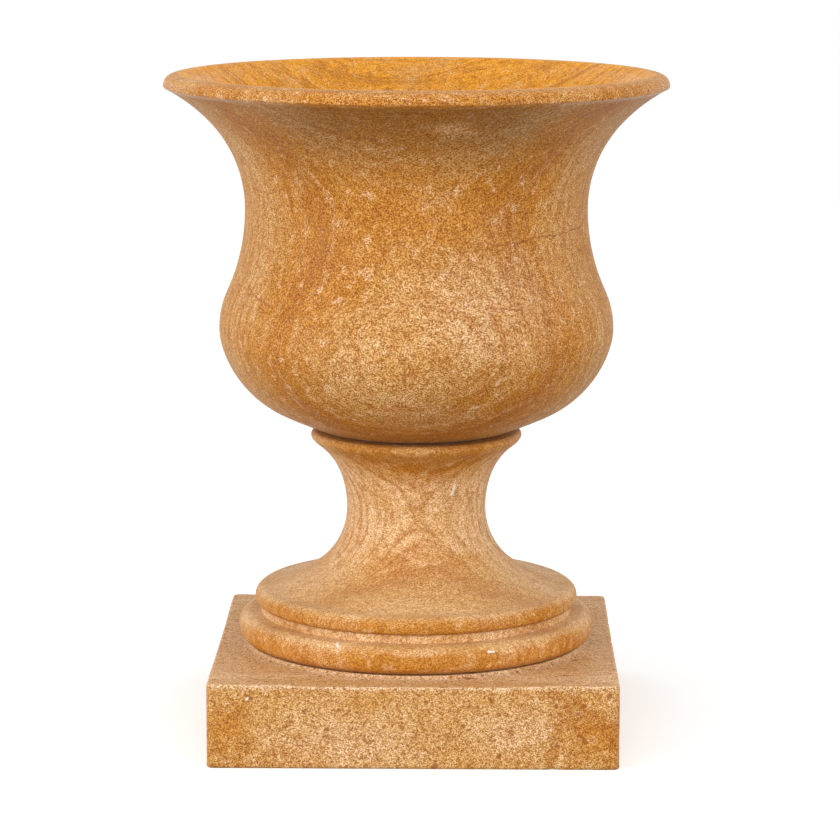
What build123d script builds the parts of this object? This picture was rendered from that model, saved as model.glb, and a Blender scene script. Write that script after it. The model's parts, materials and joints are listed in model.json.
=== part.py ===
"""A turned stone urn on a square plinth, 665 mm high, built of three stones.

The wide bowl stands on a turned socle, and the socle on a square plinth. Stainless
dowels set in resin pin each joint beside the drain bore, a thin ring beds each stone
on the one below, and the bowl lifts straight off its dowels.

Units are millimetres. The origin is the middle of the plinth's underside, +Z is up
and -Y is the front. Every turned outline is drawn as radius and height.
"""

import os
from math import cos, radians, sin

from build123d import *

# Plinth: a square slab whose top is turned round a raised seat
plinth_side = 404.0
plinth_height = 84.0
plinth_corner = 7.0
plinth_arris = 2.5
plinth_foot_arris = 1.5
turned_depth = 1.8
turned_flat = 24.0
turned_fade = 30.0
seat_margin = 2.0
seat_rise = 4.3
cove_width = 17.0
cove_slope = 60.0

# Socle: torus, fillet, shoulder, flared foot, waist and collar, heights above its underside
socle_height = 214.5
torus_radius = 182.0
torus_foot_setback = 11.0
torus_top_setback = 13.0
torus_widest_height = 15.5
torus_height = 28.0
fillet_ledge = 9.5
fillet_height = 8.0
shoulder_overhang = 5.5
shoulder_widest_height = 43.5
shoulder_top_setback = 25.5
shoulder_top_height = 57.3
shoulder_slope = 22.0
waist_radius = 71.0
waist_height = 135.0
bell_slope = 36.0
collar_radius = 107.5
collar_foot_setback = 6.0
collar_top_setback = 7.5
collar_thickness = 13.0
collar_widest_fall = 5.0

# Bowl: underside, belly, neck and flared lip, heights above its own seat
bowl_height = 360.0
bowl_seat_setback = 2.0
underside_slope = 20.0
haunch_radius = 140.0
haunch_height = 17.6
haunch_slope = 26.0
belly_radius = 199.8
belly_height = 103.0
neck_radius = 173.0
neck_height = 224.5
rim_radius = 254.0
rim_widest_fall = 12.0
lip_edge_setback = 6.5
lip_edge_fall = 16.5
lip_slope = 30.0
crown_setback = 18.0
inner_edge_setback = 28.0
inner_edge_fall = 4.0
inner_edge_slope = 38.0

# Inside of the bowl
neck_wall = 26.0
belly_wall = 27.0
inner_belly_height = 111.0
floor_thickness = 68.0
floor_radius = 95.0
floor_fall = 3.0

# Drain, the same bore through all three stones
drain_diameter = 26.0

# Beds between the stones, set back from the edge of the joint
gasket_thickness = 2.5
mortar_thickness = 1.5
bed_setback = 8.0
bed_drain_margin = 8.0

# Dowels, set in resin where they are fixed
dowel_diameter = 12.0
dowel_chamfer = 1.0
resin_hole_diameter = 16.0
resin_pad = 3.0
resin_recess = 1.0
bond_clearance = 0.1
bed_hole_clearance = 1.0
bowl_dowel_spacing = 84.0
bowl_dowel_grip = 46.0
bowl_dowel_stand = 38.0
bowl_hole_clearance = 1.0
bowl_hole_end_clearance = 5.0
socle_dowel_spacing = 150.0
socle_dowel_grip = 46.0

# How soon the long sweeps bend, see two_arcs
usual_share = 0.4
cove_share = 0.2
fade_share = 0.25
shoulder_share = 0.344
flare_share = 0.125
bell_share = 0.22
haunch_share = 0.47
neck_share = 0.158
lip_share = 0.36
inner_waist_share = 0.35
inner_haunch_share = 0.28

# Radii that follow from the ones above
torus_foot_radius = torus_radius - torus_foot_setback
torus_top_radius = torus_radius - torus_top_setback
fillet_radius = torus_top_radius - fillet_ledge
shoulder_radius = fillet_radius + shoulder_overhang
shoulder_top_radius = shoulder_radius - shoulder_top_setback
collar_foot_radius = collar_radius - collar_foot_setback
collar_top_radius = collar_radius - collar_top_setback
bowl_seat_radius = collar_top_radius - bowl_seat_setback
seat_radius = torus_foot_radius + seat_margin
cove_radius = seat_radius + cove_width
turned_radius = cove_radius + turned_flat

# Heights of the joint faces
turned_z = plinth_height - turned_depth
plinth_seat_z = turned_z + seat_rise
socle_z = plinth_seat_z + mortar_thickness
collar_z = socle_z + socle_height
bowl_z = collar_z + gasket_thickness
rim_z = bowl_z + bowl_height

drain_radius = drain_diameter / 2
dowel_radius = dowel_diameter / 2
resin_hole_radius = resin_hole_diameter / 2
bowl_resin_hole_depth = bowl_dowel_grip + resin_pad
socle_resin_hole_depth = socle_dowel_grip + resin_pad

# Dowels stand to the left and right of the drain
bowl_dowel_spots = [(-bowl_dowel_spacing / 2, 0), (bowl_dowel_spacing / 2, 0)]
socle_dowel_spots = [(-socle_dowel_spacing / 2, 0), (socle_dowel_spacing / 2, 0)]


def heading(degrees):
    """The direction of travel along an outline, from +radius towards +height."""
    return Vector(cos(radians(degrees)), sin(radians(degrees)))


def two_arcs(start, start_angle, end, end_angle, share=usual_share):
    """Two arcs in one smooth sweep, leaving start and reaching end at the given angles.

    share says how soon the first arc ends: its tangent length over the straight distance.
    """
    start = Vector(*start)
    end = Vector(*end)
    leaving = heading(start_angle)
    arriving = heading(end_angle)
    span = end - start
    first = share * span.length
    last = (span.dot(span) / 2 - first * span.dot(leaving)) / (
        span.dot(arriving) + first * (1 - leaving.dot(arriving))
    )
    before = start + leaving * first
    after = end - arriving * last
    meeting = before + (after - before) * (first / (first + last))
    TangentArc(start, meeting, tangent=leaving)
    return TangentArc(meeting, end, tangent=after - before)


def drill(spots, z, radius, depth):
    """Round holes of the given depth, cut upward from height z, or downward if depth is negative."""
    with BuildSketch(Plane.XY.offset(z)) as holes:
        with Locations(*spots):
            Circle(radius)
    extrude(holes.sketch, amount=depth, mode=Mode.SUBTRACT)


# Plinth

with BuildPart() as plinth:
    with BuildSketch():
        RectangleRounded(plinth_side, plinth_side, plinth_corner)
    extrude(amount=plinth_seat_z)

    # The turned top: seat, cove down to the flat, and a soft rise to the corners
    beyond_corner = plinth_side
    with BuildSketch(Plane.XZ):
        with BuildLine():
            seat = Line((0, plinth_seat_z), (seat_radius, plinth_seat_z))
            cove = two_arcs(seat @ 1, -cove_slope, (cove_radius, turned_z), 0, cove_share)
            flat = Line(cove @ 1, (turned_radius, turned_z))
            fade_end = (turned_radius + turned_fade, plinth_height)
            fade = two_arcs(flat @ 1, 0, fade_end, 0, fade_share)
            Polyline(fade @ 1, (beyond_corner, plinth_height), (beyond_corner, 0), (0, 0), seat @ 0)
        make_face()
    revolve(axis=Axis.Z, mode=Mode.INTERSECT)

    side_faces = plinth.faces().filter_by(lambda face: abs(face.normal_at().Z) < 0.1)
    top_arris = side_faces.edges().filter_by(lambda edge: (edge @ 0.5).Z > turned_z - 0.1)
    fillet(top_arris, plinth_arris)
    foot_arris = plinth.edges().group_by(Axis.Z)[0]
    chamfer(foot_arris, plinth_foot_arris)

    drill([(0, 0)], 0, drain_radius, plinth_seat_z)
    drill(socle_dowel_spots, plinth_seat_z, resin_hole_radius, -socle_resin_hole_depth)

plinth.part.label = "plinth"


# Socle

with BuildPart() as socle:
    fillet_foot_z = socle_z + torus_height
    fillet_top_z = fillet_foot_z + fillet_height
    collar_foot = (collar_foot_radius, collar_z - collar_thickness)
    foot_angle = 180 - shoulder_slope
    with BuildSketch(Plane.XZ):
        with BuildLine():
            foot = Line((0, socle_z), (torus_foot_radius, socle_z))
            torus_low = two_arcs(foot @ 1, 0, (torus_radius, socle_z + torus_widest_height), 90)
            torus_high = two_arcs(torus_low @ 1, 90, (torus_top_radius, fillet_foot_z), 180)
            fillet_face = Polyline(
                torus_high @ 1, (fillet_radius, fillet_foot_z), (fillet_radius, fillet_top_z)
            )
            shoulder_low = two_arcs(
                fillet_face @ 1, 0, (shoulder_radius, socle_z + shoulder_widest_height), 90
            )
            shoulder_top = (shoulder_top_radius, socle_z + shoulder_top_height)
            shoulder_high = two_arcs(shoulder_low @ 1, 90, shoulder_top, foot_angle, shoulder_share)
            waist = (waist_radius, socle_z + waist_height)
            flare = two_arcs(shoulder_high @ 1, foot_angle, waist, 90, flare_share)
            bell = two_arcs(flare @ 1, 90, collar_foot, bell_slope, bell_share)
            collar_widest = (collar_radius, collar_z - collar_widest_fall)
            collar_low = two_arcs(bell @ 1, bell_slope, collar_widest, 90)
            collar_high = two_arcs(collar_low @ 1, 90, (collar_top_radius, collar_z), 180)
            Polyline(collar_high @ 1, (0, collar_z), foot @ 0)
        make_face()
    revolve(axis=Axis.Z)

    drill([(0, 0)], socle_z, drain_radius, socle_height)
    drill(bowl_dowel_spots, collar_z, resin_hole_radius, -bowl_resin_hole_depth)
    drill(socle_dowel_spots, socle_z, resin_hole_radius, socle_resin_hole_depth)

socle.part.label = "socle"


# Bowl

with BuildPart() as bowl:
    floor_z = bowl_z + floor_thickness
    neck_z = bowl_z + neck_height
    inner_edge_angle = 180 + inner_edge_slope
    with BuildSketch(Plane.XZ):
        with BuildLine():
            bowl_seat = Line((0, bowl_z), (bowl_seat_radius, bowl_z))
            haunch_foot = (haunch_radius, bowl_z + haunch_height)
            underside = two_arcs(bowl_seat @ 1, underside_slope, haunch_foot, haunch_slope)
            belly = (belly_radius, bowl_z + belly_height)
            haunch = two_arcs(underside @ 1, haunch_slope, belly, 90, haunch_share)
            neck = two_arcs(haunch @ 1, 90, (neck_radius, neck_z), 90, neck_share)
            lip_edge = (rim_radius - lip_edge_setback, rim_z - lip_edge_fall)
            lip_flare = two_arcs(neck @ 1, 90, lip_edge, lip_slope, lip_share)
            lip = two_arcs(lip_flare @ 1, lip_slope, (rim_radius, rim_z - rim_widest_fall), 90)
            crown = two_arcs(lip @ 1, 90, (rim_radius - crown_setback, rim_z), 180)
            inner_edge = (rim_radius - inner_edge_setback, rim_z - inner_edge_fall)
            crown_edge = two_arcs(crown @ 1, 180, inner_edge, inner_edge_angle)
            inner_neck = (neck_radius - neck_wall, neck_z)
            throat = two_arcs(crown_edge @ 1, inner_edge_angle, inner_neck, 270)
            inner_belly = (belly_radius - belly_wall, bowl_z + inner_belly_height)
            inner_waist = two_arcs(throat @ 1, 270, inner_belly, 270, inner_waist_share)
            floor_edge = (floor_radius, floor_z + floor_fall)
            inner_haunch = two_arcs(inner_waist @ 1, 270, floor_edge, 180, inner_haunch_share)
            Polyline(inner_haunch @ 1, (0, floor_z), bowl_seat @ 0)
        make_face()
    revolve(axis=Axis.Z)

    drill([(0, 0)], bowl_z, drain_radius, floor_thickness + floor_fall)
    bowl_hole_depth = bowl_dowel_stand - gasket_thickness + bowl_hole_end_clearance
    drill(bowl_dowel_spots, bowl_z, dowel_radius + bowl_hole_clearance, bowl_hole_depth)

bowl.part.label = "bowl"


# Beds


def bed_ring(z, edge_radius, thickness, dowel_spots):
    """A flat ring set back from the joint's edge and clear of the drain and the dowels."""
    with BuildPart() as ring:
        with BuildSketch(Plane.XY.offset(z)):
            Circle(edge_radius - bed_setback)
            Circle(drain_radius + bed_drain_margin, mode=Mode.SUBTRACT)
            with Locations(*dowel_spots):
                Circle(dowel_radius + bed_hole_clearance, mode=Mode.SUBTRACT)
        extrude(amount=thickness)
    return ring


bowl_seat_gasket = bed_ring(collar_z, bowl_seat_radius, gasket_thickness, bowl_dowel_spots)
bowl_seat_gasket.part.label = "bowl_seat_gasket"

socle_mortar_bed = bed_ring(plinth_seat_z, torus_foot_radius, mortar_thickness, socle_dowel_spots)
socle_mortar_bed.part.label = "socle_mortar_bed"


# Dowels and their resin


def dowel_pair(spots, low_z, high_z):
    """Two plain round pins with chamfered ends."""
    with BuildPart() as pins:
        with BuildSketch(Plane.XY.offset(low_z)):
            with Locations(*spots):
                Circle(dowel_radius)
        extrude(amount=high_z - low_z)
        chamfer(pins.edges().filter_by(GeomType.CIRCLE), dowel_chamfer)
    return pins


def resin_pair(spots, bottom_z, depth):
    """Resin in two blind holes: a pad at the bottom and a sleeve round the pin; depth below 0 is downward."""
    direction = 1 if depth > 0 else -1
    filled = depth - resin_recess * direction
    with BuildPart() as resin:
        with BuildSketch(Plane.XY.offset(bottom_z)):
            with Locations(*spots):
                Circle(resin_hole_radius - bond_clearance)
        extrude(amount=filled)
        drill(spots, bottom_z + resin_pad * direction, dowel_radius + bond_clearance, filled)
    return resin


bowl_dowels = dowel_pair(bowl_dowel_spots, collar_z - bowl_dowel_grip, collar_z + bowl_dowel_stand)
bowl_dowels.part.label = "bowl_dowels"

bowl_dowel_resin = resin_pair(bowl_dowel_spots, collar_z - bowl_resin_hole_depth, bowl_resin_hole_depth)
bowl_dowel_resin.part.label = "bowl_dowel_resin"

socle_dowels = dowel_pair(socle_dowel_spots, plinth_seat_z - socle_dowel_grip, socle_z + socle_dowel_grip)
socle_dowels.part.label = "socle_dowels"

plinth_dowel_resin = resin_pair(
    socle_dowel_spots, plinth_seat_z - socle_resin_hole_depth, socle_resin_hole_depth
)
plinth_dowel_resin.part.label = "plinth_dowel_resin"

socle_dowel_resin = resin_pair(
    socle_dowel_spots, socle_z + socle_resin_hole_depth, -socle_resin_hole_depth
)
socle_dowel_resin.part.label = "socle_dowel_resin"


# Files

os.makedirs("parts", exist_ok=True)
export_step(plinth.part, "parts/plinth.step")
export_step(socle.part, "parts/socle.step")
export_step(bowl.part, "parts/bowl.step")
export_step(bowl_seat_gasket.part, "parts/bowl_seat_gasket.step")
export_step(socle_mortar_bed.part, "parts/socle_mortar_bed.step")
export_step(bowl_dowels.part, "parts/bowl_dowels.step")
export_step(bowl_dowel_resin.part, "parts/bowl_dowel_resin.step")
export_step(socle_dowels.part, "parts/socle_dowels.step")
export_step(socle_dowel_resin.part, "parts/socle_dowel_resin.step")
export_step(plinth_dowel_resin.part, "parts/plinth_dowel_resin.step")
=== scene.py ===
"""The looks of a turned sandstone urn: three stones, their beds and their dowels, in a plain studio.

The origin is the middle of the plinth's underside, +Z is up and -Y is the front. Blender works
in metres. Outlines are drawn as radius and height in millimetres, and become metres in the mesh.
"""
import json
import math

import bpy
import numpy as np
from mathutils import Matrix, Vector, noise


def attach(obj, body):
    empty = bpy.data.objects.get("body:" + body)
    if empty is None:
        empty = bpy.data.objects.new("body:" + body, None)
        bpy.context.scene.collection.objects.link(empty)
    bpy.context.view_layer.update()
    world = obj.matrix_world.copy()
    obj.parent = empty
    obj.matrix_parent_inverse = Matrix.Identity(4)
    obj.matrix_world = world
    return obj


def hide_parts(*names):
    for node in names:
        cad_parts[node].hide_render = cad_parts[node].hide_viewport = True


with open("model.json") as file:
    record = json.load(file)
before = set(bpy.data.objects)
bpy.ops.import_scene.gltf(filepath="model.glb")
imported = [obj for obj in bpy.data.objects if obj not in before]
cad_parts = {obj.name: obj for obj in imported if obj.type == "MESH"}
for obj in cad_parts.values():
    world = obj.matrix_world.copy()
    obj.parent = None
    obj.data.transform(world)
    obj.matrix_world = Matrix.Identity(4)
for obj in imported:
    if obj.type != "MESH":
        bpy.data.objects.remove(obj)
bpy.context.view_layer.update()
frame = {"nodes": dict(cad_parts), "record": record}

MM = 0.001


# Stones, in millimetres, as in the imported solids

DRAIN_RADIUS = 13.0
USUAL_SHARE = 0.4

PLINTH_SIDE = 404.0
PLINTH_TOP = 84.0
PLINTH_SEAT = 86.5
PLINTH_CORNER = 7.0
PLINTH_ARRIS = 2.5
FOOT_ARRIS = 1.5
TURNED_TOP = 82.2
TURNED_RADIUS = 214.0
TURNED_FADE = 30.0
SEAT_RADIUS = 173.0
COVE_RADIUS = 190.0

SOCLE_FOOT = 88.0
SOCLE_TOP = 302.5
BOWL_FOOT = 305.0

BOWL_DOWELS = (-42.0, 42.0)
SOCLE_DOWELS = (-75.0, 75.0)
RESIN_HOLE_RADIUS = 8.0
RESIN_HOLE_DEPTH = 49.0
BOWL_HOLE_RADIUS = 7.0
BOWL_HOLE_DEPTH = 40.5

# Mesh steps along an outline: hidden faces, long sweeps, and rolls with a small radius
HIDDEN_STEP = 7.0
SWEEP_STEP = 3.0
ROLL_STEP = 1.2

# Rings along each part of the plinth, with both ends counted
TOP_RINGS = 33
ARRIS_RINGS = 7
SIDE_RINGS = 31
UNDERSIDE_RINGS = 24
DRAIN_RINGS = 12


def heading(degrees):
    """The direction of travel along an outline, from +radius towards +height."""
    return np.array([math.cos(math.radians(degrees)), math.sin(math.radians(degrees))])


class Outline:
    """A turned outline: radius and height in millimetres, sampled as it is drawn."""

    def __init__(self, radius, height):
        self.points = [np.array([radius, height], float)]

    def line(self, radius, height, step=HIDDEN_STEP):
        start = self.points[-1]
        end = np.array([radius, height], float)
        count = max(1, round(np.linalg.norm(end - start) / step))
        self.points += [start + (end - start) * k / count for k in range(1, count + 1)]
        return self

    def arc(self, direction, end, step):
        """An arc of a circle that leaves the last point along direction."""
        start = self.points[-1]
        chord = end - start
        left = np.array([-direction[1], direction[0]])
        half = math.atan2(chord @ left, chord @ direction)
        radius = np.linalg.norm(chord) / (2 * math.sin(half))
        centre = start + left * radius
        spoke = start - centre
        count = max(2, round(abs(2 * half * radius) / step))
        for k in range(1, count + 1):
            turn = 2 * half * k / count
            self.points.append(centre + np.array([
                spoke[0] * math.cos(turn) - spoke[1] * math.sin(turn),
                spoke[0] * math.sin(turn) + spoke[1] * math.cos(turn),
            ]))

    def sweep(self, start_angle, radius, height, end_angle, share=USUAL_SHARE, step=SWEEP_STEP):
        """Two arcs in one smooth sweep that starts and ends at the given angles."""
        start = self.points[-1]
        end = np.array([radius, height], float)
        leaving = heading(start_angle)
        arriving = heading(end_angle)
        span = end - start
        first = share * np.linalg.norm(span)
        last = (span @ span / 2 - first * span @ leaving) / (
            span @ arriving + first * (1 - leaving @ arriving)
        )
        before = start + leaving * first
        after = end - arriving * last
        meeting = before + (after - before) * first / (first + last)
        across = (after - before) / np.linalg.norm(after - before)
        self.arc(leaving, meeting, step)
        self.arc(across, end, step)
        return self


def ring_mesh(name, rings, body, node):
    """A closed mesh of rings, first joined to last, that stands for a packed stone."""
    count, segments = rings.shape[:2]
    index = np.arange(count * segments).reshape(count, segments)
    beside = np.roll(index, -1, 1)
    above = np.roll(index, -1, 0)
    quads = np.stack([index, beside, np.roll(beside, -1, 0), above], -1).reshape(-1, 4)
    mesh = bpy.data.meshes.new(name)
    mesh.from_pydata((rings.reshape(-1, 3) * MM).tolist(), [], quads.tolist())
    mesh.update()
    piece = bpy.data.objects.new(name, mesh)
    bpy.context.scene.collection.objects.link(piece)
    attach(piece, body)
    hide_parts(node)
    return piece


def turned_rings(outline, segments):
    """An outline turned round the Z axis."""
    loop = np.array(outline.points)[:-1]
    angles = np.linspace(0, 2 * math.pi, segments, endpoint=False)
    across = np.outer(loop[:, 0], np.cos(angles))
    along = np.outer(loop[:, 0], np.sin(angles))
    up = np.repeat(loop[:, 1:2], segments, 1)
    return np.stack([across, along, up], -1)


def bowl_outline():
    outline = Outline(DRAIN_RADIUS, BOWL_FOOT)
    outline.line(98, BOWL_FOOT)
    outline.sweep(20, 140, 322.6, 26)
    outline.sweep(26, 199.8, 408, 90, 0.47)
    outline.sweep(90, 173, 529.5, 90, 0.158)
    outline.sweep(90, 247.5, 648.5, 30, 0.36)
    outline.sweep(30, 254, 653, 90, step=ROLL_STEP)
    outline.sweep(90, 236, 665, 180, step=ROLL_STEP)
    outline.sweep(180, 226, 661, 218, step=ROLL_STEP)
    outline.sweep(218, 147, 529.5, 270)
    outline.sweep(270, 172.8, 416, 270, 0.35)
    outline.sweep(270, 95, 376, 180, 0.28)
    outline.line(DRAIN_RADIUS, 373.4)
    return outline.line(DRAIN_RADIUS, BOWL_FOOT)


def socle_outline():
    outline = Outline(DRAIN_RADIUS, SOCLE_FOOT)
    outline.line(171, SOCLE_FOOT)
    outline.sweep(0, 182, 103.5, 90, step=ROLL_STEP)
    outline.sweep(90, 169, 116, 180, step=ROLL_STEP)
    outline.line(159.5, 116, ROLL_STEP)
    outline.line(159.5, 124, ROLL_STEP)
    outline.sweep(0, 165, 131.5, 90, step=ROLL_STEP)
    outline.sweep(90, 139.5, 145.3, 158, 0.344, step=ROLL_STEP)
    outline.sweep(158, 71, 223, 90, 0.125)
    outline.sweep(90, 101.5, 289.5, 36, 0.22)
    outline.sweep(36, 107.5, 297.5, 90, step=ROLL_STEP)
    outline.sweep(90, 100, SOCLE_TOP, 180, step=ROLL_STEP)
    outline.line(DRAIN_RADIUS, SOCLE_TOP)
    return outline.line(DRAIN_RADIUS, SOCLE_FOOT)


def plinth_turning():
    """The plinth's turned top from the drain to the flat, and its soft rise to the corners."""
    seat = Outline(DRAIN_RADIUS, PLINTH_SEAT)
    seat.line(SEAT_RADIUS, PLINTH_SEAT)
    seat.sweep(-60, COVE_RADIUS, TURNED_TOP, 0, 0.2, ROLL_STEP)
    rise = Outline(TURNED_RADIUS, TURNED_TOP)
    rise.sweep(0, TURNED_RADIUS + TURNED_FADE, PLINTH_TOP, 0, 0.25)
    return np.array(seat.points), np.array(rise.points)


def square_reach(angles, half_side, corner):
    """How far a ray at each angle goes before it leaves a rounded square."""
    across = np.abs(np.cos(angles))
    along = np.abs(np.sin(angles))
    straight = half_side / np.maximum(across, along)
    inner = half_side - corner
    toward = (across + along) * inner
    rounded = toward + np.sqrt(np.maximum(toward**2 - 2 * inner**2 + corner**2, 0))
    in_corner = np.minimum(across, along) * straight > inner
    return np.where(in_corner, rounded, straight)


def plinth_angles(step, corner_steps):
    """Angles of points spread evenly round the plinth's square, closer at its corners."""
    half = PLINTH_SIDE / 2
    inner = half - PLINTH_CORNER
    side = np.linspace(-inner, inner, round(2 * inner / step) + 1)[:-1]
    turn = np.linspace(0, math.pi / 2, corner_steps + 1)[:-1]
    straight = np.arctan2(side, half)
    rounded = np.arctan2(
        inner + PLINTH_CORNER * np.sin(turn), inner + PLINTH_CORNER * np.cos(turn)
    )
    quarter = np.concatenate([straight, rounded])
    return np.concatenate([quarter + math.pi / 2 * k for k in range(4)])


def plinth_rings():
    """Rings over the turned top, down the sides, back under the slab and up the drain, last one first."""
    angles = plinth_angles(3.0, 8)
    ones = np.ones(len(angles))
    half = PLINTH_SIDE / 2
    seat, rise = plinth_turning()
    rings = []

    def ring(reach, height):
        across = np.cos(angles) * reach
        along = np.sin(angles) * reach
        rings.append(np.stack([across, along, height * ones], -1))

    def top_at(reach):
        return np.interp(reach, rise[:, 0], rise[:, 1])

    for radius, height in seat:
        ring(radius * ones, height)
    top_edge = square_reach(angles, half - PLINTH_ARRIS, PLINTH_CORNER - PLINTH_ARRIS)
    for share in np.linspace(0, 1, TOP_RINGS)[1:]:
        reach = COVE_RADIUS + (top_edge - COVE_RADIUS) * share
        ring(reach, top_at(reach))
    edge_top = top_at(top_edge)
    for turn in np.linspace(0, math.pi / 2, ARRIS_RINGS)[1:]:
        inset = PLINTH_ARRIS * (1 - math.sin(turn))
        reach = square_reach(angles, half - inset, PLINTH_CORNER - inset)
        ring(reach, edge_top - PLINTH_ARRIS * (1 - math.cos(turn)))
    side = square_reach(angles, half, PLINTH_CORNER)
    for share in np.linspace(0, 1, SIDE_RINGS)[1:]:
        ring(side, edge_top - PLINTH_ARRIS + (FOOT_ARRIS - edge_top + PLINTH_ARRIS) * share)
    foot = square_reach(angles, half - FOOT_ARRIS, PLINTH_CORNER - FOOT_ARRIS)
    ring((side + foot) / 2, FOOT_ARRIS * 0.3)
    for share in np.linspace(0, 1, UNDERSIDE_RINGS):
        ring(foot + (DRAIN_RADIUS - foot) * share, 0)
    for height in np.linspace(0, PLINTH_SEAT, DRAIN_RINGS)[1:-1]:
        ring(DRAIN_RADIUS * ones, height)
    return np.array(rings[::-1])


# Sound stone, worn a little by hand and age

FLATNESS = 0.35
FLAT_WAVE = 9.0
CHIP_WAVE = 55.0
CHIP_DEPTH = 3.0
CHIP_THRESHOLD = 0.3


def smooth(value, low, high):
    """0 below low, 1 above high, and an even turn between them."""
    share = np.clip((value - low) / (high - low), 0, 1)
    return share * share * (3 - 2 * share)


def vertex_places(piece):
    """The piece's vertices, in millimetres."""
    places = np.zeros(len(piece.data.vertices) * 3, np.float32)
    piece.data.vertices.foreach_get("co", places)
    return places.reshape(-1, 3) / MM


def wear(piece, shares):
    """Moves the surface inwards: broad unevenness and chips, each by its own share from 0 to 1."""
    mesh = piece.data
    places = vertex_places(piece)
    normals = np.zeros(places.size, np.float32)
    mesh.vertices.foreach_get("normal", normals)
    broad, chips = shares(places)
    depth = np.zeros(len(places))
    for k, place in enumerate(places):
        if broad[k] > 0:
            wave = noise.noise(Vector(place) * MM * FLAT_WAVE)
            depth[k] = broad[k] * FLATNESS * (0.5 + 0.5 * wave)
        if chips[k] > 0:
            found = noise.noise(Vector(place) * MM * CHIP_WAVE) - CHIP_THRESHOLD
            depth[k] += chips[k] * CHIP_DEPTH * max(0.0, found)
    moved = (places - normals.reshape(-1, 3) * depth[:, None]) * MM
    mesh.vertices.foreach_set("co", moved.astype(np.float32).ravel())
    mesh.update()


def bowl_wear(places):
    """Unevenness all over the bowl, which leaves its seat and its drain true."""
    radius = np.hypot(places[:, 0], places[:, 1])
    broad = smooth(places[:, 2], BOWL_FOOT, BOWL_FOOT + 6) * smooth(radius, DRAIN_RADIUS + 1, 30)
    return broad, np.zeros(len(places))


def socle_wear(places):
    """Unevenness of the socle between its two joint faces."""
    height = places[:, 2]
    radius = np.hypot(places[:, 0], places[:, 1])
    broad = smooth(height, SOCLE_FOOT, SOCLE_FOOT + 6) * smooth(radius, DRAIN_RADIUS + 1, 30)
    broad *= 1 - smooth(height, SOCLE_TOP - 6, SOCLE_TOP)
    return broad, np.zeros(len(places))


def plinth_wear(places):
    """Unevenness of the plinth's sides and top, and chips along its arrises."""
    height = places[:, 2]
    radius = np.hypot(places[:, 0], places[:, 1])
    half = PLINTH_SIDE / 2
    to_side = half - np.abs(places[:, :2]).max(1)
    broad = smooth(height, 0, 6) * smooth(radius, COVE_RADIUS, COVE_RADIUS + 8)
    top_edge = (1 - smooth(to_side, 0.5, 4)) * smooth(height, 74, 79)
    foot_edge = (1 - smooth(height, 0.5, 6)) * (1 - smooth(to_side, 0.5, 3))
    corner = (1 - smooth(half * math.sqrt(2) - radius, 3, 9)) * smooth(height, 0, 3)
    return broad, np.clip(top_edge + foot_edge + 0.6 * corner, 0, 1)


def mark(piece, name, share):
    """Stores a value from 0 to 1 at each point of a piece, for its material."""
    layer = piece.data.attributes.new(name, "FLOAT", "POINT")
    layer.data.foreach_set("value", share(vertex_places(piece)).astype(np.float32))


def patch(places, middle, reach):
    """1 in the middle of a soft oval on the front, 0 outside it. Both are given as x and z."""
    across = (places[:, 0] - middle[0]) / reach[0]
    up = (places[:, 2] - middle[1]) / reach[1]
    return (1 - smooth(np.hypot(across, up), 0.2, 1.0)) * (places[:, 1] < 0)


def drill(piece, spots, low, high, radius):
    """Cuts round upright holes between two heights, in millimetres."""
    for x in spots:
        bpy.ops.mesh.primitive_cylinder_add(
            vertices=48, radius=radius * MM, depth=(high - low) * MM,
            location=(x * MM, 0, (low + high) / 2 * MM),
        )
        tool = bpy.context.object
        cut = piece.modifiers.new("hole", "BOOLEAN")
        cut.operation = "DIFFERENCE"
        cut.solver = "EXACT"
        cut.object = tool
        with bpy.context.temp_override(object=piece, active_object=piece):
            bpy.ops.object.modifier_apply(modifier=cut.name)
        bpy.data.objects.remove(tool)


def finish_mesh(piece, sharp_degrees):
    """Smooth shading that keeps edges sharper than the given angle."""
    mesh = piece.data
    mesh.shade_smooth()
    mesh.set_sharp_from_angle(angle=math.radians(sharp_degrees))


# Materials


def colour(red, green, blue):
    """An sRGB colour, 0 to 255, as Blender's linear one."""
    def linear(value):
        value /= 255
        return value / 12.92 if value <= 0.04045 else ((value + 0.055) / 1.055) ** 2.4
    return (linear(red), linear(green), linear(blue), 1.0)


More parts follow.
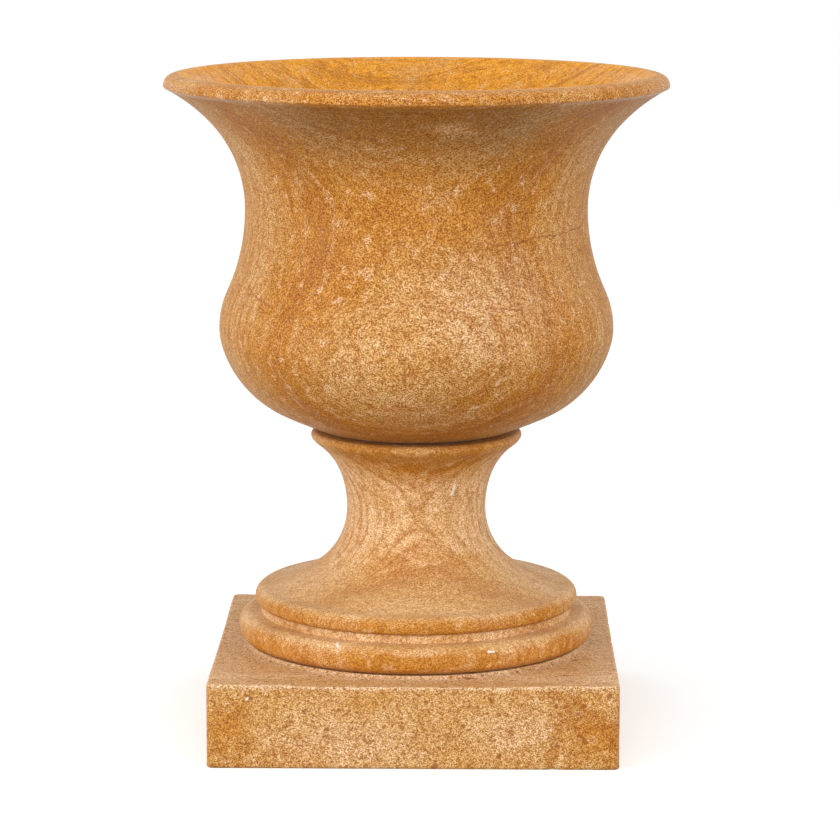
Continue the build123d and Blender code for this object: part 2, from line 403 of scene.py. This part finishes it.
class Net:
    """A material's nodes, added by short calls that give back a socket."""

    def __init__(self, name, roughness, specular=0.5, metallic=0.0):
        self.material = bpy.data.materials.new(name)
        self.material.use_nodes = True
        self.tree = self.material.node_tree
        self.shader = self.tree.nodes["Principled BSDF"]
        self.shader.inputs["Roughness"].default_value = roughness
        self.shader.inputs["Specular IOR Level"].default_value = specular
        self.shader.inputs["Metallic"].default_value = metallic

    def add(self, kind, inputs, **settings):
        node = self.tree.nodes.new("ShaderNode" + kind)
        for key, value in settings.items():
            setattr(node, key, value)
        for key, value in inputs.items():
            self.feed(node.inputs[key], value)
        return node

    def feed(self, socket, value):
        if isinstance(value, bpy.types.NodeSocket):
            self.tree.links.new(value, socket)
        else:
            socket.default_value = value

    def here(self):
        return self.add("TexCoord", {}).outputs["Object"]

    def facing(self):
        """How far the surface faces each way: the three parts of its normal."""
        normal = self.add("TexCoord", {}).outputs["Normal"]
        return self.add("SeparateXYZ", {"Vector": normal}).outputs

    def place(self, start, scale=(1, 1, 1), shift=(0, 0, 0)):
        inputs = {"Vector": start, "Location": shift, "Scale": scale}
        return self.add("Mapping", inputs).outputs["Vector"]

    def noise(self, place, scale, detail=2.0, roughness=0.5):
        inputs = {"Vector": place, "Scale": scale, "Detail": detail, "Roughness": roughness}
        return self.add("TexNoise", inputs).outputs["Fac"]

    def cells(self, place, scale):
        """A random value for each of many small cells."""
        cell = self.add("TexVoronoi", {"Vector": place, "Scale": scale}).outputs["Color"]
        return self.add("SeparateColor", {"Color": cell}).outputs["Red"]

    def attribute(self, name):
        return self.add("Attribute", {}, attribute_name=name).outputs["Fac"]

    def math(self, operation, first, second=0.0, third=0.0):
        inputs = {0: first, 1: second, 2: third}
        return self.add("Math", inputs, operation=operation).outputs[0]

    def vector(self, operation, first, second):
        """A vector operation that gives a vector."""
        return self.add("VectorMath", {0: first, 1: second}, operation=operation).outputs[0]

    def fade(self, value, low, high, start=0.0, end=1.0):
        inputs = {"Value": value, "From Min": low, "From Max": high, "To Min": start, "To Max": end}
        return self.add("MapRange", inputs, interpolation_type="SMOOTHSTEP").outputs[0]

    def swing(self, value, reach):
        """Turns a value from 0 to 1 into a distance from -reach / 2 to reach / 2."""
        return self.math("MULTIPLY_ADD", value, reach, -reach / 2)

    def ramp(self, value, stops):
        node = self.add("ValToRGB", {"Fac": value})
        band = node.color_ramp
        while len(band.elements) < len(stops):
            band.elements.new(0.5)
        for element, (position, tone) in zip(band.elements, stops):
            element.position = position
            element.color = tone
        return node.outputs["Color"]

    def blend(self, share, first, second):
        node = self.add("Mix", {}, data_type="RGBA")
        sockets = [socket for socket in node.inputs if socket.type == "RGBA"]
        self.feed(node.inputs["Factor"], share)
        self.feed(sockets[0], first)
        self.feed(sockets[1], second)
        return [socket for socket in node.outputs if socket.type == "RGBA"][0]

    def bump(self, height, distance, strength=1.0):
        inputs = {"Height": height, "Distance": distance, "Strength": strength}
        return self.add("Bump", inputs).outputs["Normal"]

    def stroke(self, place, points, width):
        """1 along a line drawn on the front, through points given as x and z, in millimetres."""
        parts = self.add("SeparateXYZ", {"Vector": place}).outputs
        flat = self.add("CombineXYZ", {"X": parts["X"], "Z": parts["Z"]}).outputs[0]
        nearest = 1.0
        for (x0, z0), (x1, z1) in zip(points, points[1:]):
            start = Vector((x0 * MM, 0, z0 * MM))
            along = Vector((x1 * MM, 0, z1 * MM)) - start
            offset = self.vector("SUBTRACT", flat, start)
            reach = self.add("VectorMath", {0: offset, 1: along}, operation="DOT_PRODUCT").outputs["Value"]
            share = self.math("DIVIDE", reach, along.length_squared)
            share = self.math("MINIMUM", self.math("MAXIMUM", share, 0.0), 1.0)
            scaled = self.add("VectorMath", {0: along, "Scale": share}, operation="SCALE").outputs[0]
            away = self.add("VectorMath", {0: offset, 1: scaled}, operation="DISTANCE").outputs["Value"]
            nearest = self.math("MINIMUM", away, nearest)
        front = self.fade(parts["Y"], -0.03, -0.02, 1.0, 0.0)
        return self.math("MULTIPLY", self.fade(nearest, width * MM * 0.4, width * MM, 1.0, 0.0), front)


STONE_DEEP = colour(178, 108, 28)
STONE_GOLD = colour(194, 126, 38)
# Golden stone, with painted light inside the bowl
STONE_AMBER = colour(240, 163, 30)
STONE_SAND = colour(200, 140, 62)
STONE_PALE = colour(209, 156, 86)
STONE_CREAM = colour(230, 186, 130)
# Dust, with painted light from above
STONE_DUST_AND_TOP_LIGHT = colour(221, 178, 119)
# Painted shade
STONE_PAINTED_SHADE = colour(104, 66, 32)
# Raw stone, and a painted highlight on the plinth's top arris
STONE_RAW_AND_HIGHLIGHT = colour(226, 190, 142)
STONE_FLECK = colour(146, 76, 14)
STONE_WHITE = colour(246, 236, 222)

# Red, green and blue of dark, usual and light grains, as shares of their bed's colour
DARK_GRAIN = (0.50, 0.30, 0.04)
USUAL_GRAIN = (0.99, 0.94, 0.76)
LIGHT_GRAIN = (1.42, 1.76, 3.0)
GRAINS_PER_METRE = 1100.0
GRAIN_FLATTENING = 1.6

# Features per metre of each pattern in the stone
DRIFTS_PER_METRE = 4.0
CLOUDS_PER_METRE = 17.0
RAGS_PER_METRE = 38.0
MOTTLES_PER_METRE = 80.0
BLOTS_PER_METRE = 95.0
SHAKES_PER_METRE = 130.0
FLECKS_PER_METRE = 230.0
LAMINAE_PER_METRE = (4, 230, 4)

# How far the beds and the scars wander, from one side to the other, in metres
BED_DRIFT = 0.09
BED_RAGGEDNESS = 0.05
SCAR_SHAKE = 0.006

# Roughness of the smoothest grains, and what the roughest grains, raw stone and polish add
BASE_ROUGHNESS = 0.45
GRAIN_ROUGHNESS = 0.2
RAW_ROUGHNESS = 0.25
POLISH_ROUGHNESS = -0.2
STONE_SPECULAR = 0.22

# How far the grains stand out, in metres
GRAIN_RELIEF = 0.0002

# Depths of the beds behind the axis plane, from -BED_REACH to BED_REACH, in millimetres
BED_REACH = 260.0

BOWL_BEDS = [
    (-240, STONE_GOLD), (-212, STONE_SAND), (-192, STONE_PALE), (-176, STONE_SAND),
    (-162, STONE_GOLD), (-144, STONE_DEEP), (-128, STONE_GOLD), (-108, STONE_SAND),
    (-84, STONE_PALE), (-40, STONE_SAND), (0, STONE_PALE), (80, STONE_SAND), (190, STONE_GOLD),
]
SOCLE_BEDS = [
    (-182, STONE_GOLD), (-164, STONE_SAND), (-150, STONE_CREAM), (-116, STONE_PALE),
    (-98, STONE_DEEP), (-88, STONE_GOLD), (-76, STONE_PALE), (-40, STONE_CREAM),
    (0, STONE_SAND), (60, STONE_CREAM), (110, STONE_SAND), (160, STONE_GOLD),
]
PLINTH_BEDS = [
    (-206, STONE_PALE), (-190, STONE_SAND), (-170, STONE_CREAM), (-130, STONE_SAND),
    (-60, STONE_PALE), (-20, STONE_SAND), (40, STONE_PALE), (110, STONE_SAND), (205, STONE_PALE),
]


def crack(*points):
    """A fine crack through points of the front, given as x and z, in millimetres."""
    return points, 0.9, STONE_FLECK, 0.65, 3.0


def chip(x, z):
    """A small dark hole."""
    return [(x - 1, z - 0.5), (x + 1, z + 0.7)], 2.0, STONE_FLECK, 0.8, 4.0


def scuff(*points):
    """A knock that left the stone white."""
    return points, 1.7, STONE_WHITE, 0.85, 0.0


BOWL_SCARS = [
    crack((46, 504), (62, 505), (80, 509), (100, 510), (119, 514), (141, 514), (164, 517)),
    crack((85, 450), (94, 449), (105, 446)),
    crack((92, 437), (96, 432), (102, 427)),
    crack((-164, 457), (-154, 450), (-142, 446)),
    crack((30, 477), (35, 486), (40, 494)),
]
SOCLE_SCARS = [
    scuff((36.5, 247), (38.5, 251), (39.5, 257)),
    scuff((-75, 113), (-75, 114)),
    scuff((74, 109), (79, 109)),
]
PLINTH_SCARS = [scuff((-162, 69), (-161, 71)), chip(158, 67), chip(-119, 47), chip(55, 40), chip(84, 13)]


def sandstone(name, shift, beds, grain_share, fleck_share, scars):
    """Honed sandstone, bedded in upright planes that face the front.

    beds gives colours at depths. shift moves the finer pattern, because each stone comes from
    another place in the block. The shares say how strongly single grains and flecks show. Each
    scar is a line of points, its width, its tone, how strongly that shows, and how deep it is.
    """
    net = Net(name, BASE_ROUGHNESS, STONE_SPECULAR)
    here = net.here()
    place = net.place(here, shift=shift)

    # The beds wander by a few centimetres, and the finer laminae follow them
    drift = net.noise(place, DRIFTS_PER_METRE, 3.0, 0.55)
    drift_across = net.add("CombineXYZ", {"Y": net.swing(drift, BED_DRIFT)}).outputs[0]
    bent = net.vector("ADD", here, drift_across)
    depth = net.add("SeparateXYZ", {"Vector": bent}).outputs["Y"]
    ragged = net.swing(net.noise(place, RAGS_PER_METRE, 4.0, 0.65), BED_RAGGEDNESS)
    depth = net.math("ADD", depth, ragged)
    level = net.math("MULTIPLY_ADD", depth, 0.5 / (BED_REACH * MM), 0.5)
    body = net.ramp(level, [((y + BED_REACH) / (2 * BED_REACH), tone) for y, tone in beds])

    # Places that are more golden, paler or amber, set at the points, with painted light in the amber
    # inside of the bowl and a painted highlight among the pale marks
    gold = net.attribute("gold")
    body = net.blend(net.math("MULTIPLY", gold, 0.8), body, STONE_GOLD)
    body = net.blend(net.math("MULTIPLY", net.attribute("pale"), 0.8), body, STONE_CREAM)
    amber = net.attribute("amber")
    body = net.blend(net.math("MULTIPLY", amber, 0.85), body, STONE_AMBER)

    laminae_place = net.place(net.vector("ADD", place, drift_across), LAMINAE_PER_METRE)
    laminae = net.noise(laminae_place, 1.0, 3.0, 0.6)
    body = net.blend(net.fade(laminae, 0.50, 0.32, 0.0, 0.65), body, STONE_DEEP)
    body = net.blend(net.fade(laminae, 0.52, 0.70, 0.0, 0.22), body, STONE_CREAM)
    clouds = net.noise(place, CLOUDS_PER_METRE, 4.0, 0.65)
    body = net.blend(net.fade(clouds, 0.52, 0.68, 0.0, 0.45), body, STONE_PALE)
    body = net.blend(net.fade(clouds, 0.47, 0.32, 0.0, 0.5), body, STONE_GOLD)
    mottle = net.noise(net.place(place, (1, 2, 1)), MOTTLES_PER_METRE, 3.0, 0.6)
    body = net.blend(net.fade(mottle, 0.47, 0.33, 0.0, 0.55), body, STONE_DEEP)
    body = net.blend(net.fade(mottle, 0.55, 0.70, 0.0, 0.5), body, STONE_CREAM)

    # Dust and painted light from above on faces that look up, painted shade, and raw stone that was never
    # honed, with a painted highlight on the plinth's top arris
    dust_and_top_light = net.fade(net.facing()["Z"], 0.35, 0.95, 0.0, 0.45)
    dust_and_top_light = net.math("MULTIPLY", dust_and_top_light, net.math("SUBTRACT", 1.0, net.math("MAXIMUM", amber, gold)))
    body = net.blend(dust_and_top_light, body, STONE_DUST_AND_TOP_LIGHT)
    body = net.blend(net.math("MULTIPLY", net.attribute("shade"), 0.7), body, STONE_PAINTED_SHADE)
    raw_and_highlight = net.attribute("raw_and_highlight")
    body = net.blend(net.math("MULTIPLY", raw_and_highlight, 0.6), body, STONE_RAW_AND_HIGHLIGHT)

    # Grains lie flat in the beds
    grain = net.cells(net.place(place, (1, GRAIN_FLATTENING, 1)), GRAINS_PER_METRE)
    contrast = net.math("MULTIPLY_ADD", amber, -0.9 * grain_share, 2 * grain_share)
    spread = net.math("MULTIPLY_ADD", net.math("SUBTRACT", grain, 0.5), contrast, 1.0)
    tone = net.blend(spread, (*DARK_GRAIN, 1), (*USUAL_GRAIN, 1))
    tone = net.blend(net.math("SUBTRACT", spread, 1.0), tone, (*LIGHT_GRAIN, 1))
    body = net.vector("MULTIPLY", body, tone)
    flecks = net.fade(net.noise(place, FLECKS_PER_METRE, 1.0), 0.65, 0.71, 0.0, fleck_share)
    blots = net.fade(net.noise(place, BLOTS_PER_METRE, 1.0), 0.70, 0.75, 0.0, fleck_share)
    body = net.blend(net.math("MAXIMUM", flecks, blots), body, STONE_FLECK)

    height = grain
    wander = net.swing(net.noise(place, SHAKES_PER_METRE, 2.0), SCAR_SHAKE)
    shaken = net.vector("ADD", here, net.add("CombineXYZ", {"Z": wander}).outputs[0])
    for points, width, tone, share, dent in scars:
        scar = net.stroke(shaken, points, width)
        body = net.blend(net.math("MULTIPLY", scar, share), body, tone)
        height = net.math("MULTIPLY_ADD", scar, -dent, height)

    net.feed(net.shader.inputs["Base Color"], body)
    rough = net.math("MULTIPLY_ADD", grain, GRAIN_ROUGHNESS, BASE_ROUGHNESS)
    rough = net.math("MULTIPLY_ADD", raw_and_highlight, RAW_ROUGHNESS, rough)
    rough = net.math("MULTIPLY_ADD", net.attribute("polish"), POLISH_ROUGHNESS, rough)
    net.feed(net.shader.inputs["Roughness"], rough)
    net.feed(net.shader.inputs["Normal"], net.bump(height, GRAIN_RELIEF, 0.5))
    return net.material


def plain_grain(name, base, dark, scale, roughness, depth, metallic=0.0, stretch=(1, 1, 1)):
    """A finish with one grain: its colour, its roughness and its bump follow the same noise."""
    net = Net(name, roughness, metallic=metallic)
    grain = net.noise(net.place(net.here(), stretch), scale, 3.0, 0.6)
    net.feed(net.shader.inputs["Base Color"], net.ramp(grain, [(0.35, dark), (0.62, base)]))
    rough = net.fade(grain, 0.3, 0.7, roughness - 0.1, roughness + 0.1)
    net.feed(net.shader.inputs["Roughness"], rough)
    net.feed(net.shader.inputs["Normal"], net.bump(grain, depth, 0.6))
    return net.material


# Studio

CAMERA_PLACE = Vector((0.0545, -3.4728, 0.9131))
CAMERA_HEADING = -0.0146
CAMERA_PITCH = 0.1715
CAMERA_ROLL = 0.00123
CAMERA_LENS = 148.17
SENSOR = 36.0

WORLD_LIGHT = 0.82
FLOOR_REACH = 40.0
FLOOR_WHITE = 0.9
FLOOR_DARK = 0.08
FLOOR_LIFT = 0.27
LAMP_DISTANCE = 2.2


def add_camera():
    data = bpy.data.cameras.new("camera")
    data.sensor_width = SENSOR
    data.lens = CAMERA_LENS
    data.clip_end = 200
    camera = bpy.data.objects.new("camera", data)
    bpy.context.scene.collection.objects.link(camera)
    ahead = Vector((
        math.sin(CAMERA_HEADING) * math.cos(CAMERA_PITCH),
        math.cos(CAMERA_HEADING) * math.cos(CAMERA_PITCH),
        -math.sin(CAMERA_PITCH),
    ))
    right = Vector((math.cos(CAMERA_HEADING), -math.sin(CAMERA_HEADING), 0))
    up = right.cross(ahead)
    turn = Matrix((right, up, -ahead)).transposed().to_4x4()
    roll = Matrix.Rotation(CAMERA_ROLL, 4, "Z")
    camera.matrix_world = Matrix.Translation(CAMERA_PLACE) @ turn @ roll
    bpy.context.scene.camera = camera


def softbox(name, azimuth, height, aim, size, power, distance=LAMP_DISTANCE):
    """A square lamp at a height, that shines at the urn's axis. Azimuth 0 is the front."""
    data = bpy.data.lights.new(name, "AREA")
    data.shape = "SQUARE"
    data.size = size
    data.energy = power
    lamp = bpy.data.objects.new(name, data)
    bpy.context.scene.collection.objects.link(lamp)
    turn = math.radians(azimuth)
    lamp.location = (distance * math.sin(turn), -distance * math.cos(turn), height)
    lamp.rotation_euler = (Vector((0, 0, aim)) - lamp.location).to_track_quat("-Z", "Y").to_euler()


def seen_directly(tree):
    """1 for camera, glossy and transmission rays, and 0 for the light that falls on things."""
    path = tree.nodes.new("ShaderNodeLightPath")
    total = path.outputs["Is Camera Ray"]
    for name in ("Is Glossy Ray", "Is Transmission Ray"):
        more = tree.nodes.new("ShaderNodeMath")
        more.operation = "MAXIMUM"
        tree.links.new(total, more.inputs[0])
        tree.links.new(path.outputs[name], more.inputs[1])
        total = more.outputs[0]
    return total


def add_world():
    """Soft light from all round, and a white background."""
    world = bpy.data.worlds.new("studio")
    world.use_nodes = True
    tree = world.node_tree
    lit = tree.nodes["Background"]
    lit.inputs["Color"].default_value = (1, 1, 1, 1)
    lit.inputs["Strength"].default_value = WORLD_LIGHT
    shown = tree.nodes.new("ShaderNodeBackground")
    shown.inputs["Color"].default_value = (1, 1, 1, 1)
    shown.inputs["Strength"].default_value = 1.0
    mix = tree.nodes.new("ShaderNodeMixShader")
    tree.links.new(seen_directly(tree), mix.inputs[0])
    tree.links.new(lit.outputs[0], mix.inputs[1])
    tree.links.new(shown.outputs[0], mix.inputs[2])
    tree.links.new(mix.outputs[0], tree.nodes["World Output"].inputs["Surface"])
    bpy.context.scene.world = world


def add_floor():
    """A floor that looks white and keeps the shadow, and throws little light back at the urn."""
    corners = [(-1, -1), (1, -1), (1, 1), (-1, 1)]
    mesh = bpy.data.meshes.new("floor")
    mesh.from_pydata([(x * FLOOR_REACH, y * FLOOR_REACH, 0) for x, y in corners], [], [(0, 1, 2, 3)])
    floor = bpy.data.objects.new("floor", mesh)
    bpy.context.scene.collection.objects.link(floor)
    net = Net("floor_white", 0.9, 0.0)
    seen = seen_directly(net.tree)
    dark = (FLOOR_DARK, FLOOR_DARK, FLOOR_DARK, 1)
    white = (FLOOR_WHITE, FLOOR_WHITE, FLOOR_WHITE, 1)
    net.feed(net.shader.inputs["Base Color"], net.blend(seen, dark, white))
    net.shader.inputs["Emission Color"].default_value = (1, 1, 1, 1)
    net.feed(net.shader.inputs["Emission Strength"], net.math("MULTIPLY", seen, FLOOR_LIFT))
    floor.data.materials.append(net.material)


# Where the stones are paler, more golden or raw, and where painted light and painted shade lie on them

# A pale patch under the rim
PALE_PATCH = (36, 626)
PALE_PATCH_REACH = (32, 10)


def nowhere(places):
    return np.zeros(len(places))


def bowl_pale(places):
    """Pale places on the front of the belly and low on it, and a pale patch under the rim."""
    belly = patch(places, (75, 450), (100, 75))
    low = patch(places, (10, 345), (70, 22))
    return np.clip(0.45 * belly + 0.4 * low + 0.5 * patch(places, PALE_PATCH, PALE_PATCH_REACH), 0, 1)


def bowl_gold(places):
    """The lip, the front of the flare, and stains low on both sides."""
    flare = patch(places, (0, 560), (140, 95))
    left = patch(places, (-150, 408), (50, 65))
    right = patch(places, (160, 470), (40, 90))
    lip = smooth(places[:, 2], 647, 651)
    return np.clip(flare + 0.6 * left + 0.4 * right + 0.8 * lip, 0, 1)


def bowl_inside(places):
    """1 on the inner wall, and 0 on the outer one and on the lip."""
    points = np.array(bowl_outline().points)
    wall = points[points[:, 1].argmax():][::-1]
    wall = wall[wall[:, 1] > 380]
    from_wall = np.hypot(places[:, 0], places[:, 1]) - np.interp(places[:, 2], wall[:, 1], wall[:, 0])
    return (1 - smooth(from_wall, 3, 8)) * smooth(places[:, 2], 380, 400)


def bowl_amber(places):
    """The inside of the flare: golden stone, and painted light that brightens it towards the rim."""
    return bowl_inside(places) * smooth(places[:, 2], 400, 590)


def bowl_painted_shade(places):
    """Painted shade under the lip, at the front and the back, and on the underside near the seat."""
    radius = np.hypot(places[:, 0], places[:, 1])
    height = places[:, 2]
    under_lip = smooth(height, 555, 635) * (1 - smooth(height, 647, 651)) * (1 - bowl_inside(places))
    under_lip *= 1 - 0.5 * patch(places, PALE_PATCH, PALE_PATCH_REACH)
    # Less painted shade on the sides, where the side lamps fall
    under_lip *= 1 - 0.8 * smooth(np.abs(places[:, 0]), 80, 180)
    seat = (1 - smooth(height, 306, 322)) * smooth(radius, 90, 98)
    return np.clip(0.75 * under_lip + 0.5 * seat, 0, 1)


def bowl_polish(places):
    """The crest of the lip, worn smooth."""
    height = places[:, 2]
    return smooth(height, 647, 651) * (1 - smooth(height, 657, 662))


def socle_pale(places):
    """Pale stone at the waist, and a painted highlight across the front of the torus."""
    height = places[:, 2]
    waist = smooth(height, 165, 205) * (1 - smooth(height, 255, 276))
    # The narrow band on the front of the torus is a painted highlight
    return np.maximum(waist, 0.8 * patch(places, (5, 111), (42, 5)))


def socle_gold(places):
    """The rolls: torus, shoulder and collar."""
    height = places[:, 2]
    torus = 1 - smooth(height, 106, 113)
    shoulder = smooth(height, 122, 126) * (1 - smooth(height, 134, 141))
    collar = smooth(height, 283, 289)
    return np.clip(0.9 * torus + shoulder + 0.6 * collar, 0, 1)


def socle_painted_shade(places):
    """Painted shade in the corner under the torus and in the corner above the fillet."""
    height = places[:, 2]
    foot = 1 - smooth(height, 89, 95)
    fillet = smooth(height, 122, 124) * (1 - smooth(height, 125, 128))
    return 0.6 * foot + 0.4 * fillet


def socle_raw(places):
    """The fillet, which a disc can't reach to hone."""
    radius = np.hypot(places[:, 0], places[:, 1])
    height = places[:, 2]
    in_fillet = smooth(height, 114.5, 116.5) * (1 - smooth(height, 123.5, 125))
    return 0.45 * in_fillet * (1 - smooth(radius, 163, 171))


def plinth_gold(places):
    """Stains on the front face."""
    left = patch(places, (-180, 40), (40, 45))
    low = patch(places, (-120, 12), (60, 22))
    right = patch(places, (175, 30), (50, 30))
    return np.clip(left + 0.7 * low + right, 0, 1)


def plinth_pale(places):
    middle = patch(places, (-60, 25), (110, 40))
    return 0.7 * np.clip(middle + patch(places, (100, 40), (60, 35)), 0, 1)


def plinth_raw_and_highlight(places):
    """The cove, where dust lies, and the top arris, whose pale tone is a painted highlight."""
    radius = np.hypot(places[:, 0], places[:, 1])
    height = places[:, 2]
    to_side = PLINTH_SIDE / 2 - np.abs(places[:, :2]).max(1)
    cove = (1 - smooth(radius, 176, 190)) * smooth(height, 80, 82)
    # Painted highlight along the top arris, which is also rougher
    arris = (1 - smooth(to_side, 1, 4)) * smooth(height, 78, 81)
    return np.clip(0.6 * cove + 0.9 * arris, 0, 1)


# Making

add_camera()
add_world()
add_floor()
softbox("front", 0, 0.16, 0.35, 0.8, 16)
softbox("left", -61, 0.60, 0.50, 0.75, 21)
softbox("right", 50, 0.58, 0.50, 0.7, 13)
softbox("top", 0, 2.30, 0.60, 1.0, 6, distance=0.3)

bowl = ring_mesh("bowl_stone", turned_rings(bowl_outline(), 360), "bowl", "bowl")
socle = ring_mesh("socle_stone", turned_rings(socle_outline(), 320), "pedestal", "socle")
plinth = ring_mesh("plinth_stone", plinth_rings(), "pedestal", "plinth")

wear(bowl, bowl_wear)
wear(socle, socle_wear)
wear(plinth, plinth_wear)

LAYERS = ("pale", "gold", "amber", "shade", "raw_and_highlight", "polish")
marks = {
    bowl: (bowl_pale, bowl_gold, bowl_amber, bowl_painted_shade, nowhere, bowl_polish),
    socle: (socle_pale, socle_gold, nowhere, socle_painted_shade, socle_raw, nowhere),
    plinth: (plinth_pale, plinth_gold, nowhere, nowhere, plinth_raw_and_highlight, nowhere),
}
for stone, shares in marks.items():
    for layer, share in zip(LAYERS, shares):
        mark(stone, layer, share)

drill(bowl, BOWL_DOWELS, BOWL_FOOT - 1, BOWL_FOOT + BOWL_HOLE_DEPTH, BOWL_HOLE_RADIUS)
drill(socle, BOWL_DOWELS, SOCLE_TOP - RESIN_HOLE_DEPTH, SOCLE_TOP + 1, RESIN_HOLE_RADIUS)
drill(socle, SOCLE_DOWELS, SOCLE_FOOT - 1, SOCLE_FOOT + RESIN_HOLE_DEPTH, RESIN_HOLE_RADIUS)
drill(plinth, SOCLE_DOWELS, PLINTH_SEAT - RESIN_HOLE_DEPTH, PLINTH_SEAT + 1, RESIN_HOLE_RADIUS)

stone_finishes = {
    bowl: sandstone("bowl_sandstone", (0, 0, 0), BOWL_BEDS, 1.45, 0.35, BOWL_SCARS),
    socle: sandstone("socle_sandstone", (0.3, 0.013, 0.1), SOCLE_BEDS, 0.85, 0.3, SOCLE_SCARS),
    plinth: sandstone("plinth_sandstone", (0.7, 0.04, 0.5), PLINTH_BEDS, 1.15, 0.75, PLINTH_SCARS),
}
for stone, finish in stone_finishes.items():
    stone.data.materials.append(finish)
    finish_mesh(stone, 50)

inner_finishes = {
    "stainless_steel": plain_grain(
        "turned_steel", colour(190, 190, 188), colour(150, 150, 150), 900, 0.32, 0.0001,
        metallic=1.0, stretch=(1, 1, 0.1)),
    "gasket_rubber": plain_grain("rubber", colour(62, 50, 38), colour(36, 29, 22), 500, 0.6, 0.0002),
    "bed_mortar": plain_grain("mortar", colour(176, 158, 130), colour(120, 104, 82), 300, 0.85, 0.0008),
    "anchor_resin": plain_grain("resin", colour(168, 150, 120), colour(140, 122, 96), 250, 0.45, 0.0003),
}
for entry in frame["record"]["subparts"]:
    finish = inner_finishes.get(entry["material_slot"])
    if finish:
        slots = frame["nodes"][entry["node"]].data.materials
        slots.clear()
        slots.append(finish)

bpy.context.scene.view_settings.view_transform = "Standard"
